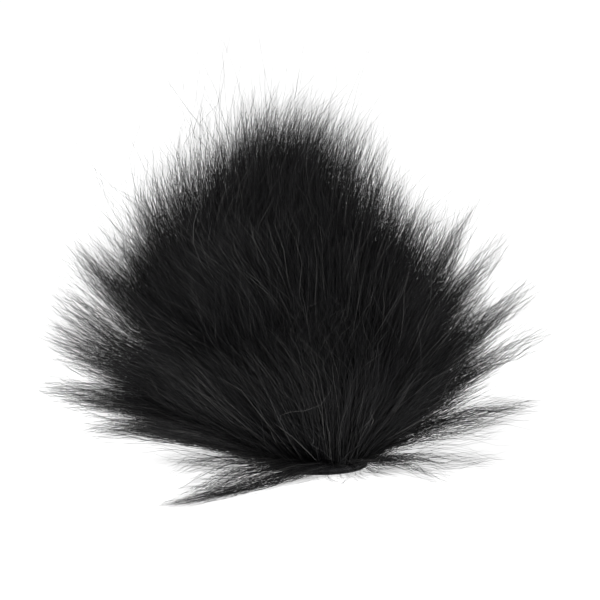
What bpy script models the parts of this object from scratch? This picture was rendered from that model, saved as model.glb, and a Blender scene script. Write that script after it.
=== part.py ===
"""Furry slip-on windscreen for a miniature microphone.

An open-cell foam core takes the microphone in its bore. A sewn bag of long-pile artificial
fur slides over the core: a thin scrim inside, then four gores of knitted backing that carry
a dense undercoat and long guard hair, and a flat elastic behind the hem tape at the neck. The
tape lies inside, so the fur reaches down to the hem's edge.

Metres, +Z up. The origin is the centre of the neck opening, at the level that the hem and the
core stand on. The cover leaves the core along +Z.
"""

import math

import bmesh
import bpy
from mathutils import Matrix, Vector

MM = 0.001

# Foam core: a bullet with a blind bore for the microphone.
CORE_RADIUS = 6.0 * MM
CORE_RISE = 6.6 * MM
SHOULDER_Z = 20.0 * MM
CORE_EDGE_RADIUS = 0.8 * MM
BORE_RADIUS = 3.4 * MM
BORE_DEPTH = 18.0 * MM
BORE_CHAMFER = 0.4 * MM

# Layers of the cover. Each is a bag with straight sides up to SHOULDER_Z and a domed crown:
# (radius of the side, rise of the dome above the shoulder).
SCRIM_INNER = (6.9 * MM, 7.4 * MM)
SCRIM_OUTER = (7.2 * MM, 7.7 * MM)
BACKING_INNER = (7.7 * MM, 8.1 * MM)
BACKING_OUTER = (8.3 * MM, 8.8 * MM)
UNDERCOAT_INNER = (8.6 * MM, 9.1 * MM)
UNDERCOAT_OUTER = (14.0 * MM, 15.0 * MM)
GUARD_INNER = (14.3 * MM, 15.3 * MM)

# Envelope of the guard hair: widest at WAIST_Z, pointed at the crown, undercut to the neck.
PILE_RADIUS = 39.0 * MM
PILE_TOP_Z = 63.0 * MM
WAIST_Z = 23.0 * MM
PILE_BOTTOM_Z = 1.2 * MM
CROWN_TAPER = 2.0
UNDERSIDE_FULLNESS = 0.7

# Gores and seams.
GORE_NAMES = ("front", "right", "back", "left")
SEAM_NAMES = ("front_right", "back_right", "back_left", "front_left")
GORE_ANGLE = math.radians(90)
PILE_PARTING = 0.3 * MM
SEAM_PARTING = 0.9 * MM
CROWN_HOLE_RADIUS = 1.4 * MM
CROWN_TACK_RADIUS = 0.8 * MM
CROWN_TACK_BOTTOM_Z = 28.15 * MM
CROWN_TACK_TOP_Z = 28.75 * MM
THREAD_RADIUS = 0.15 * MM
SEAM_THREAD_PATH = (8.0 * MM, 8.45 * MM)
SEAM_THREAD_START_Z = 1.0 * MM
SEAM_THREAD_END_RADIUS = 1.15 * MM
SCRIM_SEAM_PATH = (6.45 * MM, 7.0 * MM)
SCRIM_SEAM_START_Z = 5.0 * MM
SCRIM_SEAM_END_RADIUS = 1.0 * MM

# Hem: an angle of tape inside the neck, folded out under the backing's edge. The elastic band
# and the row of stitches that holds it lie between the tape and the backing.
SCRIM_BOTTOM_Z = 4.6 * MM
BACKING_BOTTOM_Z = 0.6 * MM
HEM_TAPE_INNER_RADIUS = 6.3 * MM
HEM_TAPE_WALL_RADIUS = 6.5 * MM
HEM_TAPE_OUTER_RADIUS = 8.3 * MM
HEM_TAPE_HEIGHT = 4.2 * MM
HEM_TAPE_FOLD = 0.3 * MM
HEM_TAPE_BEVEL = 0.12 * MM
ELASTIC_INNER_RADIUS = 6.8 * MM
ELASTIC_OUTER_RADIUS = 7.4 * MM
ELASTIC_BOTTOM_Z = 0.6 * MM
ELASTIC_TOP_Z = 2.8 * MM
ELASTIC_BEVEL = 0.15 * MM
ELASTIC_TACK_ANGLE = math.radians(24)
ELASTIC_TACK_GAP = math.radians(3)
HEM_STITCH_RADIUS = 7.1 * MM
HEM_STITCH_Z = 3.5 * MM

# Fineness of the round shapes.
TURN_STEPS = 24
GORE_STEPS = 6
BAND_STEPS = 22
TACK_STEPS = 2
DOME_STEPS = 6
ENVELOPE_STEPS = 8
RING_POINTS = 36
SEAM_POINTS_ON_DOME = 8


def clear_scene():
    """Start from an empty scene."""
    for obj in list(bpy.data.objects):
        bpy.data.objects.remove(obj, do_unlink=True)


def make_collection(name):
    """A collection under the scene's own."""
    collection = bpy.data.collections.new(name)
    bpy.context.scene.collection.children.link(collection)
    return collection


def make_material(name, colour, roughness):
    """A matte, non-metallic surface."""
    material = bpy.data.materials.new(name)
    material.use_nodes = True
    shader = material.node_tree.nodes["Principled BSDF"]
    shader.inputs["Base Color"].default_value = (*colour, 1.0)
    shader.inputs["Roughness"].default_value = roughness
    shader.inputs["Metallic"].default_value = 0.0
    return material


def place(obj, collection, material, parent=None):
    """Link a sub-part, give it its material and hang it on its body's empty."""
    collection.objects.link(obj)
    obj.data.materials.append(material)
    if parent is not None:
        obj.parent = parent
    return obj


def dome_outline(layer, start_radius=0.0):
    """Points from the crown down a quarter ellipse to the shoulder of a bag layer."""
    radius, rise = layer
    first = math.asin(start_radius / radius)
    points = []
    for step in range(DOME_STEPS + 1):
        angle = first + (math.pi / 2 - first) * step / DOME_STEPS
        points.append((radius * math.sin(angle), SHOULDER_Z + rise * math.cos(angle)))
    return points


def bag_wall(outer, inner, bottom_z, start_radius=0.0):
    """Closed section of a bag: down the outside, across the bottom edge and up the inside."""
    outside = dome_outline(outer, start_radius) + [(outer[0], bottom_z)]
    inside = dome_outline(inner, start_radius) + [(inner[0], bottom_z)]
    return outside + inside[::-1]


def arc_points(centre, radius, start, end, steps):
    """Points on an arc in the section plane, by angle from +X towards +Z."""
    points = []
    for step in range(steps + 1):
        angle = start + (end - start) * step / steps
        points.append((centre[0] + radius * math.cos(angle), centre[1] + radius * math.sin(angle)))
    return points


def section_mesh(name, points):
    """A chain of edges in the XZ plane, to be turned about Z."""
    mesh = bpy.data.meshes.new(name)
    edges = [(index, index + 1) for index in range(len(points) - 1)]
    mesh.from_pydata([(x, 0.0, z) for x, z in points], edges, [])
    return mesh


def turned(name, points):
    """A solid of revolution from a section that starts and ends on the axis, or is a ring."""
    mesh = section_mesh(name, points)
    obj = bpy.data.objects.new(name, mesh)
    screw = obj.modifiers.new("Turn", "SCREW")
    screw.axis = "Z"
    screw.angle = math.tau
    screw.steps = TURN_STEPS
    screw.render_steps = TURN_STEPS
    screw.use_merge_vertices = True
    screw.merge_threshold = 0.00001
    screw.use_smooth_shade = True
    return obj


def trim_side(bm, heading, side, margin):
    """Cut one side of a gore back by `margin`, parallel to its seam plane, and close it."""
    outwards = Vector((-math.sin(heading), math.cos(heading), 0.0)) * side
    cut = bmesh.ops.bisect_plane(
        bm,
        geom=[*bm.verts, *bm.edges, *bm.faces],
        dist=0.0000001,
        plane_co=-outwards * margin,
        plane_no=outwards,
        clear_outer=True,
    )
    rim = [item for item in cut["geom_cut"] if isinstance(item, bmesh.types.BMEdge)]
    bmesh.ops.edgeloop_fill(bm, edges=rim)


def spun(outline, start, sweep, steps):
    """A closed section spun part of the way round Z, with flat ends, as a bmesh."""
    turn = Matrix.Rotation(start, 4, "Z")
    bm = bmesh.new()
    corners = [bm.verts.new(turn @ Vector((x, 0.0, z))) for x, z in outline]
    section = bm.faces.new(corners)
    bmesh.ops.spin(
        bm,
        geom=[section, *section.edges, *section.verts],
        cent=(0, 0, 0),
        axis=(0, 0, 1),
        angle=sweep,
        steps=steps,
        use_merge=False,
        use_duplicate=False,
    )
    bmesh.ops.remove_doubles(bm, verts=bm.verts[:], dist=0.000001)
    return bm


def finished(name, bm):
    """An object from a closed bmesh, facing outwards and shaded smooth between its edges."""
    bmesh.ops.recalc_face_normals(bm, faces=bm.faces[:])
    mesh = bpy.data.meshes.new(name)
    bm.to_mesh(mesh)
    bm.free()
    mesh.shade_smooth()
    mesh.set_sharp_from_angle(angle=math.radians(40))
    return bpy.data.objects.new(name, mesh)


def gore(name, outline, quarter, parting):
    """One quarter of a layer. Both its sides are cut back, so that neighbours stand `parting`
    apart all the way to the crown."""
    middle = quarter * GORE_ANGLE - math.pi / 2
    half = GORE_ANGLE / 2
    bm = spun(outline, middle - half, GORE_ANGLE, GORE_STEPS)
    trim_side(bm, middle + half, 1, parting / 2)
    trim_side(bm, middle - half, -1, parting / 2)
    return finished(name, bm)


def thread(name, points, radius, closed=False):
    """A round thread or cord along a poly line."""
    curve = bpy.data.curves.new(name, "CURVE")
    curve.dimensions = "3D"
    curve.bevel_depth = radius
    curve.bevel_resolution = 2
    curve.use_fill_caps = not closed
    spline = curve.splines.new("POLY")
    spline.points.add(len(points) - 1)
    for point, position in zip(spline.points, points):
        point.co = (*position, 1.0)
    spline.use_cyclic_u = closed
    return bpy.data.objects.new(name, curve)


def ring_points(radius, z):
    """Points evenly round the neck."""
    angles = [math.tau * step / RING_POINTS for step in range(RING_POINTS)]
    return [(radius * math.cos(angle), radius * math.sin(angle), z) for angle in angles]


def meridian_points(path, heading, start_z, end_radius):
    """Points up the side of a bag layer and over its dome, in one vertical half-plane."""
    radius = path[0]
    side = [(radius, start_z), (radius, (start_z + SHOULDER_Z) / 2)]
    last = math.asin(end_radius / radius)
    dome = []
    for step in range(SEAM_POINTS_ON_DOME + 1):
        angle = math.pi / 2 + (last - math.pi / 2) * step / SEAM_POINTS_ON_DOME
        dome.append((radius * math.sin(angle), SHOULDER_Z + path[1] * math.cos(angle)))
    return [(r * math.cos(heading), r * math.sin(heading), z) for r, z in side + dome]


def pile_envelope():
    """Outline of the hair tips, from the crown to the waist and under to the undercoat."""
    points = []
    for step in range(ENVELOPE_STEPS + 1):
        angle = math.pi / 2 * step / ENVELOPE_STEPS
        radius = PILE_RADIUS * math.sin(angle) ** CROWN_TAPER
        points.append((radius, WAIST_Z + (PILE_TOP_Z - WAIST_Z) * math.cos(angle)))
    neck = UNDERCOAT_INNER[0]
    share = (GUARD_INNER[0] - neck) / (PILE_RADIUS - neck)
    last = math.acos(share ** (1 / UNDERSIDE_FULLNESS))
    for step in range(1, ENVELOPE_STEPS + 1):
        angle = last * step / ENVELOPE_STEPS
        radius = neck + (PILE_RADIUS - neck) * math.cos(angle) ** UNDERSIDE_FULLNESS
        points.append((radius, WAIST_Z - (WAIST_Z - PILE_BOTTOM_Z) * math.sin(angle)))
    return points


def make_core():
    """Foam bullet with a rounded foot and a chamfered blind bore."""
    outline = dome_outline((CORE_RADIUS, CORE_RISE))
    foot = (CORE_RADIUS - CORE_EDGE_RADIUS, CORE_EDGE_RADIUS)
    outline += arc_points(foot, CORE_EDGE_RADIUS, 0.0, -math.pi / 2, 3)
    outline += [
        (BORE_RADIUS + BORE_CHAMFER, 0.0),
        (BORE_RADIUS, BORE_CHAMFER),
        (BORE_RADIUS, BORE_DEPTH),
        (0.0, BORE_DEPTH),
    ]
    return turned("foam_core", outline)


def make_scrim_bag():
    """Thin knitted bag next to the foam."""
    return turned("scrim_bag", bag_wall(SCRIM_OUTER, SCRIM_INNER, SCRIM_BOTTOM_Z))


def make_scrim_seam():
    """The scrim's one seam, on its inner side at the back."""
    points = meridian_points(
        SCRIM_SEAM_PATH, math.pi / 2, SCRIM_SEAM_START_Z, SCRIM_SEAM_END_RADIUS
    )
    return thread("scrim_seam", points, THREAD_RADIUS)


def make_backings():
    """Knitted backing of the fur, one gore a quarter."""
    outline = bag_wall(BACKING_OUTER, BACKING_INNER, BACKING_BOTTOM_Z, CROWN_HOLE_RADIUS)
    return [
        gore(f"backing_{name}", outline, quarter, SEAM_PARTING)
        for quarter, name in enumerate(GORE_NAMES)
    ]


def make_undercoats():
    """Short dense hair that stands on each gore of backing."""
    outline = bag_wall(UNDERCOAT_OUTER, UNDERCOAT_INNER, PILE_BOTTOM_Z)
    return [
        gore(f"undercoat_{name}", outline, quarter, PILE_PARTING)
        for quarter, name in enumerate(GORE_NAMES)
    ]


def make_guard_hair():
    """Long hair of each gore, out to the tips' envelope."""
    inside = dome_outline(GUARD_INNER)
    outline = pile_envelope() + inside[::-1]
    return [
        gore(f"guard_hair_{name}", outline, quarter, PILE_PARTING)
        for quarter, name in enumerate(GORE_NAMES)
    ]


def make_seam_threads():
    """Stitched thread in each parting between two gores of backing."""
    threads = []
    for quarter, name in enumerate(SEAM_NAMES):
        heading = quarter * GORE_ANGLE - math.pi / 4
        points = meridian_points(
            SEAM_THREAD_PATH, heading, SEAM_THREAD_START_Z, SEAM_THREAD_END_RADIUS
        )
        threads.append(thread(f"seam_thread_{name}", points, THREAD_RADIUS))
    return threads


def make_crown_tack():
    """Knot of thread that closes the crown where the four seams meet."""
    middle = (CROWN_TACK_TOP_Z + CROWN_TACK_BOTTOM_Z) / 2
    half = (CROWN_TACK_TOP_Z - CROWN_TACK_BOTTOM_Z) / 2
    rim = CROWN_TACK_RADIUS - half
    outline = [(0.0, CROWN_TACK_TOP_Z)]
    outline += arc_points((rim, middle), half, math.pi / 2, -math.pi / 2, 4)
    outline += [(0.0, CROWN_TACK_BOTTOM_Z)]
    return turned("crown_tack", outline)


def make_hem_tape():
    """Tape round the inside of the neck, folded out under the edge of the backing."""
    outline = [
        (HEM_TAPE_OUTER_RADIUS, HEM_TAPE_FOLD),
        (HEM_TAPE_OUTER_RADIUS, HEM_TAPE_BEVEL),
        (HEM_TAPE_OUTER_RADIUS - HEM_TAPE_BEVEL, 0.0),
        (HEM_TAPE_INNER_RADIUS + HEM_TAPE_BEVEL, 0.0),
        (HEM_TAPE_INNER_RADIUS, HEM_TAPE_BEVEL),
        (HEM_TAPE_INNER_RADIUS, HEM_TAPE_HEIGHT),
        (HEM_TAPE_WALL_RADIUS, HEM_TAPE_HEIGHT),
        (HEM_TAPE_WALL_RADIUS, HEM_TAPE_FOLD),
        (HEM_TAPE_OUTER_RADIUS, HEM_TAPE_FOLD),
    ]
    return turned("hem_tape", outline)


def elastic_section():
    """Section of the flat elastic: an upright band with its corners taken off."""
    edge = ELASTIC_BEVEL
    return [
        (ELASTIC_INNER_RADIUS + edge, ELASTIC_TOP_Z),
        (ELASTIC_OUTER_RADIUS - edge, ELASTIC_TOP_Z),
        (ELASTIC_OUTER_RADIUS, ELASTIC_TOP_Z - edge),
        (ELASTIC_OUTER_RADIUS, ELASTIC_BOTTOM_Z + edge),
        (ELASTIC_OUTER_RADIUS - edge, ELASTIC_BOTTOM_Z),
        (ELASTIC_INNER_RADIUS + edge, ELASTIC_BOTTOM_Z),
        (ELASTIC_INNER_RADIUS, ELASTIC_BOTTOM_Z + edge),
        (ELASTIC_INNER_RADIUS, ELASTIC_TOP_Z - edge),
    ]


def make_hem_elastic():
    """Flat elastic in the hem, open at the back where its ends are joined."""
    away = ELASTIC_TACK_ANGLE / 2 + ELASTIC_TACK_GAP
    start = math.pi / 2 + away
    return finished("hem_elastic", spun(elastic_section(), start, math.tau - 2 * away, BAND_STEPS))


def make_elastic_tack():
    """The stitched lap between the two ends of the elastic, at the back of the hem."""
    start = math.pi / 2 - ELASTIC_TACK_ANGLE / 2
    return finished("elastic_tack", spun(elastic_section(), start, ELASTIC_TACK_ANGLE, TACK_STEPS))


def make_hem_stitching():
    """Row of stitches above the elastic, through the tape and the backing."""
    points = ring_points(HEM_STITCH_RADIUS, HEM_STITCH_Z)
    return thread("hem_stitching", points, THREAD_RADIUS, closed=True)


def main():
    """Build the windscreen: the core, and the cover on the empty that slides up off it."""
    clear_scene()
    windscreen = make_collection("furry_windscreen")
    foam = make_material("open_cell_foam", (0.020, 0.020, 0.021), 0.95)
    scrim = make_material("knitted_scrim", (0.012, 0.012, 0.013), 0.80)
    knit = make_material("knitted_backing", (0.014, 0.014, 0.015), 0.85)
    undercoat = make_material("undercoat_fibre", (0.006, 0.006, 0.006), 0.75)
    guard = make_material("guard_fibre", (0.009, 0.009, 0.009), 0.45)
    sewing = make_material("sewing_thread", (0.016, 0.016, 0.017), 0.55)
    tape = make_material("hem_tape", (0.011, 0.011, 0.012), 0.70)
    elastic = make_material("woven_elastic", (0.018, 0.018, 0.019), 0.60)

    place(make_core(), windscreen, foam)

    cover = bpy.data.objects.new("cover", None)
    windscreen.objects.link(cover)
    place(make_scrim_bag(), windscreen, scrim, cover)
    place(make_scrim_seam(), windscreen, sewing, cover)
    for obj in make_backings():
        place(obj, windscreen, knit, cover)
    for obj in make_undercoats():
        place(obj, windscreen, undercoat, cover)
    for obj in make_guard_hair():
        place(obj, windscreen, guard, cover)
    for obj in make_seam_threads():
        place(obj, windscreen, sewing, cover)
    place(make_crown_tack(), windscreen, sewing, cover)
    place(make_hem_tape(), windscreen, tape, cover)
    place(make_hem_elastic(), windscreen, elastic, cover)
    place(make_elastic_tack(), windscreen, elastic, cover)
    place(make_hem_stitching(), windscreen, sewing, cover)


main()
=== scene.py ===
"""Looks of a furry slip-on windscreen: fur, knits, seams, elastic hem, foam core and stage.

It is laid out as an add-on: the panel in the 3D view's sidebar lists one operator for each piece
or group of like pieces, and the property groups hold the sizes and colours that a user changes.
Run as a script, it registers itself and calls the operators in order around the packed frame.
"""

import math

import bmesh
import bpy
import numpy as np
from bpy.props import FloatProperty, FloatVectorProperty, IntProperty, PointerProperty
from bpy.types import Operator, Panel, PropertyGroup
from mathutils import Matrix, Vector
from mathutils.kdtree import KDTree


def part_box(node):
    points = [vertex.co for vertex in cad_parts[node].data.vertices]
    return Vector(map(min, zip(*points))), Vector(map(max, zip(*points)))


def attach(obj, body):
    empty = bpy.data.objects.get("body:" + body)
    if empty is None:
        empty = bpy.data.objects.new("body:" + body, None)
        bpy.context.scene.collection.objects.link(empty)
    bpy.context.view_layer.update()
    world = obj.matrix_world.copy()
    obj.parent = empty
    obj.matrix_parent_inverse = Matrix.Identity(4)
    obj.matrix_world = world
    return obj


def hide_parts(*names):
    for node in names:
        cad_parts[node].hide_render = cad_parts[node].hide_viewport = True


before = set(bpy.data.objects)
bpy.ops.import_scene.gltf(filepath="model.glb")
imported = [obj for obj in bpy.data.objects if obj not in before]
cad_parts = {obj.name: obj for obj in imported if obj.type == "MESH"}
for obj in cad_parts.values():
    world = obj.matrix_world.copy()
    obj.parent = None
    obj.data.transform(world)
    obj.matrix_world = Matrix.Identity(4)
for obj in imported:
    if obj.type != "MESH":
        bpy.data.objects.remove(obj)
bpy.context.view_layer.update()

bl_info = {
    "name": "Furry windscreen",
    "version": (1, 0, 0),
    "blender": (4, 5, 0),
    "location": "View3D > Sidebar > Windscreen",
    "description": "Fur, knits, seams, elastic hem and foam core of a microphone windscreen",
    "category": "Object",
}

MM = 0.001
GORES = ("front", "right", "back", "left")
SEAMS = ("front_right", "back_right", "back_left", "front_left")
QUARTER = math.pi / 2

# The layers of the bag, from the frame: straight to the shoulder, then a dome.
SHOULDER_Z = 20.0 * MM
BACKING_RADIUS = -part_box("backing_front")[0].y
BACKING_TOP_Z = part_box("backing_front")[1].z
BACKING_BOTTOM_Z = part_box("backing_front")[0].z
SCRIM_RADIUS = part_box("scrim_bag")[1].x
SCRIM_TOP_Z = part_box("scrim_bag")[1].z
SCRIM_BOTTOM_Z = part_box("scrim_bag")[0].z
CORE_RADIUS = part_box("foam_core")[1].x
CORE_TOP_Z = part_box("foam_core")[1].z
TAPE_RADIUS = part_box("hem_tape")[1].x
TAPE_TOP_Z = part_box("hem_tape")[1].z
ELASTIC_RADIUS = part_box("hem_elastic")[1].x
ELASTIC_BOTTOM_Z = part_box("hem_elastic")[0].z
ELASTIC_TOP_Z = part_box("hem_elastic")[1].z
CROWN_TACK_Z = (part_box("crown_tack")[0].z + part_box("crown_tack")[1].z) / 2
CROWN_TACK_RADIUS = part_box("crown_tack")[1].x

# Lie of the pile, by height: 0 at the hem and 1 at the crown. Angles are degrees above the
# horizontal, at the root and at the tip, for the two sides and for the faces between them. The
# leans are shares of a hair's length: how far it is pressed over, and how much of that the tip
# takes back. The last two rows are the length of the pile, and how far it falls into locks.
NAP_HEIGHTS = (0.0, 0.3, 0.6, 0.8, 1.0)
SIDE_ROOT_RISE = (18, 18, 22, 40, 82)
SIDE_TIP_RISE = (22, 34, 60, 88, 94)
FACE_ROOT_RISE = (52, 58, 66, 76, 88)
FACE_TIP_RISE = (40, 48, 62, 78, 92)
LEAN = (0.24, 0.20, 0.32, 0.58, 0.62)
LEAN_BACK = (0.0, 0.0, 0.12, 0.38, 0.56)
PILE_LENGTH = (0.96, 1.0, 0.97, 0.89, 1.04)
LOCK_GATHER = (0.8, 0.95, 0.95, 0.75, 0.4)
# Sections of the pieces inside, and where they part.
CORE_EDGE = 0.8 * MM
BORE_RADIUS = 3.4 * MM
BORE_CHAMFER = 0.4 * MM
BORE_DEPTH = 18.0 * MM
FOAM_CELL = 0.24 * MM
SCRIM_WALL = 0.3 * MM
BACKING_WALL = 0.6 * MM
CROWN_HOLE = 1.4 * MM
SEAM_PARTING = 0.9 * MM
TAPE_INNER = 6.3 * MM
TAPE_WALL = 0.2 * MM
TAPE_FOLD = 0.3 * MM
ELASTIC_INNER = 6.8 * MM
LAP_ANGLE = math.radians(24)
LAP_GAP = math.radians(3)
HEM_STITCH_INNER = 6.24 * MM
HEM_STITCH_Z = 3.5 * MM
YARN_SIDES = 6
TWIST_PITCH = 0.9 * MM
# Past these distances from the middle a hair is bent round, and gains at most the slack.
REACH_LIMIT = 43.0 * MM
REACH_SLACK = 7.5 * MM
TOP_LIMIT = 66.0 * MM
TOP_SLACK = 7.0 * MM
FLOOR_GAP = 0.4 * MM
# The foam's foot is pressed flat up to this height.
FOOT_DEPTH = 0.04 * MM
# A direction that no thread runs along, to turn its section from.
OFF_THREAD = (0.31, 0.22, 0.92)
# A wave texture of scale 1 has a band in each of this many units.
WAVE_BAND = 0.314
# Patches of lint and wear on cloth, about 3 mm wide.
LINT_SCALE = 0.35
KEY_PLACE = (-0.45, -0.55, 0.60)
KEY_WIDTH = 0.35

# Loose locks. Heading of the root (degrees from the front, positive to the right), share of the
# backing's area that lies below the root, heading, rise at the root and at the tip, length in mm,
# sideways curl and number of hairs.
STRAY_LOCKS = (
    (20, 0.05, -54, -5, -4, 41, 0.10, 190),
    (-15, 0.05, -58, 3, -8, 29, 0.16, 110),
    (-35, 0.05, -70, 9, -6, 25, 0.10, 80),
    (35, 0.04, 72, 6, -10, 22, -0.35, 45),
    (60, 0.04, 84, 4, 2, 27, -0.25, 40),
    (50, 0.04, 78, -2, 14, 17, 0.5, 30),
    (-84, 0.62, -84, 34, 80, 38, 0.04, 220),
    (-96, 0.56, -96, 30, 62, 45, 0.03, 260),
    (-74, 0.52, -76, 24, 56, 47, 0.04, 260),
    (-90, 0.46, -90, 22, 48, 49, 0.05, 380),
    (-104, 0.38, -106, 20, 44, 46, 0.04, 180),
    (-84, 0.34, -84, 20, 38, 49, 0.03, 320),
    (-76, 0.26, -72, 20, 36, 48, -0.06, 240),
    (-92, 0.21, -92, 18, 24, 48, -0.05, 340),
    (-102, 0.15, -104, 18, 16, 45, -0.05, 180),
    (-84, 0.13, -84, 18, 10, 46, 0.06, 320),
    (-74, 0.09, -72, 24, 6, 40, 0.08, 160),
    (-88, 0.06, -84, 20, -4, 38, 0.10, 160),
    (86, 0.30, 88, 32, 46, 41, 0.05, 220),
    (94, 0.20, 94, 26, 30, 40, -0.04, 130),
    (84, 0.08, 88, 24, 7, 34, -0.12, 140),
    (78, 0.06, 80, 17, 6, 27, 0.20, 80),
    (92, 0.60, 92, 44, 86, 34, 0.05, 130),
    (80, 0.50, 80, 40, 62, 38, 0.05, 120),
)


def linear(code):
    """An sRGB hex colour as linear RGBA."""
    channels = [int(code[i : i + 2], 16) / 255 for i in (1, 3, 5)]
    curve = [c / 12.92 if c <= 0.04045 else ((c + 0.055) / 1.055) ** 2.4 for c in channels]
    return (*curve, 1.0)


def length_property(name, description, millimetres):
    """A length that a user may change."""
    return FloatProperty(
        name=name, description=description, default=millimetres * MM, unit="LENGTH", precision=6
    )


def angle_property(name, description, degrees):
    """An angle that a user may change."""
    return FloatProperty(
        name=name, description=description, default=math.radians(degrees), subtype="ANGLE"
    )


def share_property(name, description, default):
    """A share or strength that a user may change."""
    return FloatProperty(name=name, description=description, default=default, subtype="FACTOR")


def count_property(name, description, default):
    """A number of things that a user may change."""
    return IntProperty(name=name, description=description, default=default)


def colour_property(name, description, code):
    """A colour that a user may change, from its sRGB hex value."""
    return FloatVectorProperty(
        name=name, description=description, default=linear(code), size=4, subtype="COLOR"
    )


def add_node(tree, kind, inputs=None, **settings):
    """Add a shader node with its settings. An input given a socket is linked to it."""
    node = tree.nodes.new(kind)
    for name, value in settings.items():
        setattr(node, name, value)
    for name, value in (inputs or {}).items():
        if isinstance(value, bpy.types.NodeSocket):
            tree.links.new(value, node.inputs[name])
        else:
            node.inputs[name].default_value = value
    return node


def start_material(name):
    """A node material with nothing in it but its output."""
    material = bpy.data.materials.new(name)
    material.use_nodes = True
    material.node_tree.nodes.clear()
    return material, material.node_tree


def finish_material(tree, inputs):
    """Add the Principled shader with these inputs and join it to a new output."""
    shader = add_node(tree, "ShaderNodeBsdfPrincipled", inputs)
    add_node(tree, "ShaderNodeOutputMaterial", {"Surface": shader.outputs["BSDF"]})


def dyed_modacrylic(name, fur):
    """Solution-dyed modacrylic fibre, extruded smooth: near black with a soft gloss along each
    hair, every hair a shade of its own, and a few of them faded to grey."""
    material, tree = start_material(name)
    strand = add_node(tree, "ShaderNodeAttribute", attribute_name="strand")
    shades = add_node(tree, "ShaderNodeValToRGB", {"Fac": strand.outputs["Fac"]})
    ramp = shades.color_ramp
    ramp.elements[0].color = fur.dark
    ramp.elements[1].position = 0.93
    ramp.elements[1].color = fur.light
    # Painted highlight: the last few hairs take a light grey that stands in for glints on single
    # strands.
    ramp.elements.new(0.975).color = fur.lint_and_glint
    finish_material(
        tree,
        {
            "Base Color": shades.outputs["Color"],
            "Roughness": fur.roughness,
            "Specular IOR Level": fur.gloss,
        },
    )
    return material


def polyether_foam(name, pieces):
    """Open-cell polyether foam: matt charcoal with no gloss at all, nearly black inside its
    pores and greyed in soft patches where it has been handled."""
    material, tree = start_material(name)
    where = add_node(tree, "ShaderNodeTexCoord").outputs["Object"]
    cells = add_node(tree, "ShaderNodeTexVoronoi", {"Vector": where, "Scale": 1 / pieces.pore})
    patches = add_node(tree, "ShaderNodeTexNoise", {"Vector": where, "Scale": 1 / (7 * MM)})
    # Painted shade: the colour runs from the foam's charcoal to near black where the pores sink
    # deepest.
    pore_shading = add_node(tree, "ShaderNodeValToRGB", {"Fac": cells.outputs["Distance"]})
    pore_shading.color_ramp.elements[0].color = pieces.foam
    pore_shading.color_ramp.elements[1].color = pieces.pore_shade
    worn = add_node(
        tree,
        "ShaderNodeMix",
        {0: patches.outputs["Fac"], 6: pore_shading.outputs["Color"], 7: pieces.foam},
        data_type="RGBA",
    )
    hollow = add_node(
        tree,
        "ShaderNodeBump",
        {"Height": cells.outputs["Distance"], "Strength": 0.5, "Distance": 0.08 * MM},
        invert=True,
    )
    finish_material(
        tree,
        {
            "Base Color": worn.outputs[2],
            "Roughness": 0.95,
            "Specular IOR Level": 0.12,
            "Normal": hollow.outputs["Normal"],
        },
    )
    return material


def cloth(name, colour, worn, yarn, roughness, sheen):
    """A cloth with its yarns in bands across the UV map, which is in millimetres.

    The yarns differ a little in shade, and the cloth is greyed in soft patches by wear and lint.
    """
    material, tree = start_material(name)
    flat = add_node(tree, "ShaderNodeTexCoord").outputs["UV"]
    bands = add_node(
        tree,
        "ShaderNodeTexWave",
        {"Vector": flat, "Scale": WAVE_BAND / yarn, "Distortion": 0.6, "Detail": 1.0},
        bands_direction="DIAGONAL",
    )
    lint = add_node(
        tree, "ShaderNodeTexNoise", {"Vector": flat, "Scale": LINT_SCALE, "Detail": 4.0}
    )
    spun = add_node(tree, "ShaderNodeTexNoise", {"Vector": flat, "Scale": 1 / yarn, "Detail": 2.0})
    shade = add_node(
        tree, "ShaderNodeMath", {0: bands.outputs["Fac"], 1: 0.5}, operation="MULTIPLY"
    )
    yarns = add_node(
        tree, "ShaderNodeMix", {0: shade.outputs[0], 6: colour, 7: worn}, data_type="RGBA"
    )
    patches = add_node(
        tree, "ShaderNodeMath", {0: lint.outputs["Fac"], 1: 0.6}, operation="MULTIPLY"
    )
    lint_and_glint = add_node(
        tree,
        "ShaderNodeMix",
        {0: patches.outputs[0], 6: yarns.outputs[2], 7: worn},
        data_type="RGBA",
    )
    twist = add_node(
        tree,
        "ShaderNodeBump",
        {"Height": spun.outputs["Fac"], "Strength": 0.4, "Distance": 0.05 * MM},
    )
    finish_material(
        tree,
        {
            "Base Color": lint_and_glint.outputs[2],
            "Roughness": roughness,
            "Specular IOR Level": 0.2,
            "Sheen Weight": sheen,
            "Sheen Roughness": 0.5,
            "Normal": twist.outputs["Normal"],
        },
    )
    return material


def spun_thread(name, colour, worn):
    """Spun polyester sewing thread: matt black, a little lighter where stray fibres stand off."""
    material, tree = start_material(name)
    where = add_node(tree, "ShaderNodeTexCoord").outputs["Object"]
    fibres = add_node(
        tree, "ShaderNodeTexNoise", {"Vector": where, "Scale": 1 / (0.25 * MM), "Detail": 3.0}
    )
    shades = add_node(
        tree, "ShaderNodeMix", {0: fibres.outputs["Fac"], 6: colour, 7: worn}, data_type="RGBA"
    )
    relief = add_node(
        tree,
        "ShaderNodeBump",
        {"Height": fibres.outputs["Fac"], "Strength": 0.4, "Distance": 0.02 * MM},
    )
    finish_material(
        tree,
        {
            "Base Color": shades.outputs[2],
            "Roughness": 0.6,
            "Specular IOR Level": 0.3,
            "Sheen Weight": 0.15,
            "Normal": relief.outputs["Normal"],
        },
    )
    return material


def paper(name, colour, glow):
    """Matt white background paper, lit from behind so that it reads as even white."""
    material, tree = start_material(name)
    finish_material(
        tree,
        {
            "Base Color": colour,
            "Roughness": 0.9,
            "Specular IOR Level": 0.1,
            "Emission Color": colour,
            "Emission Strength": glow,
        },
    )
    return material


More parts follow.
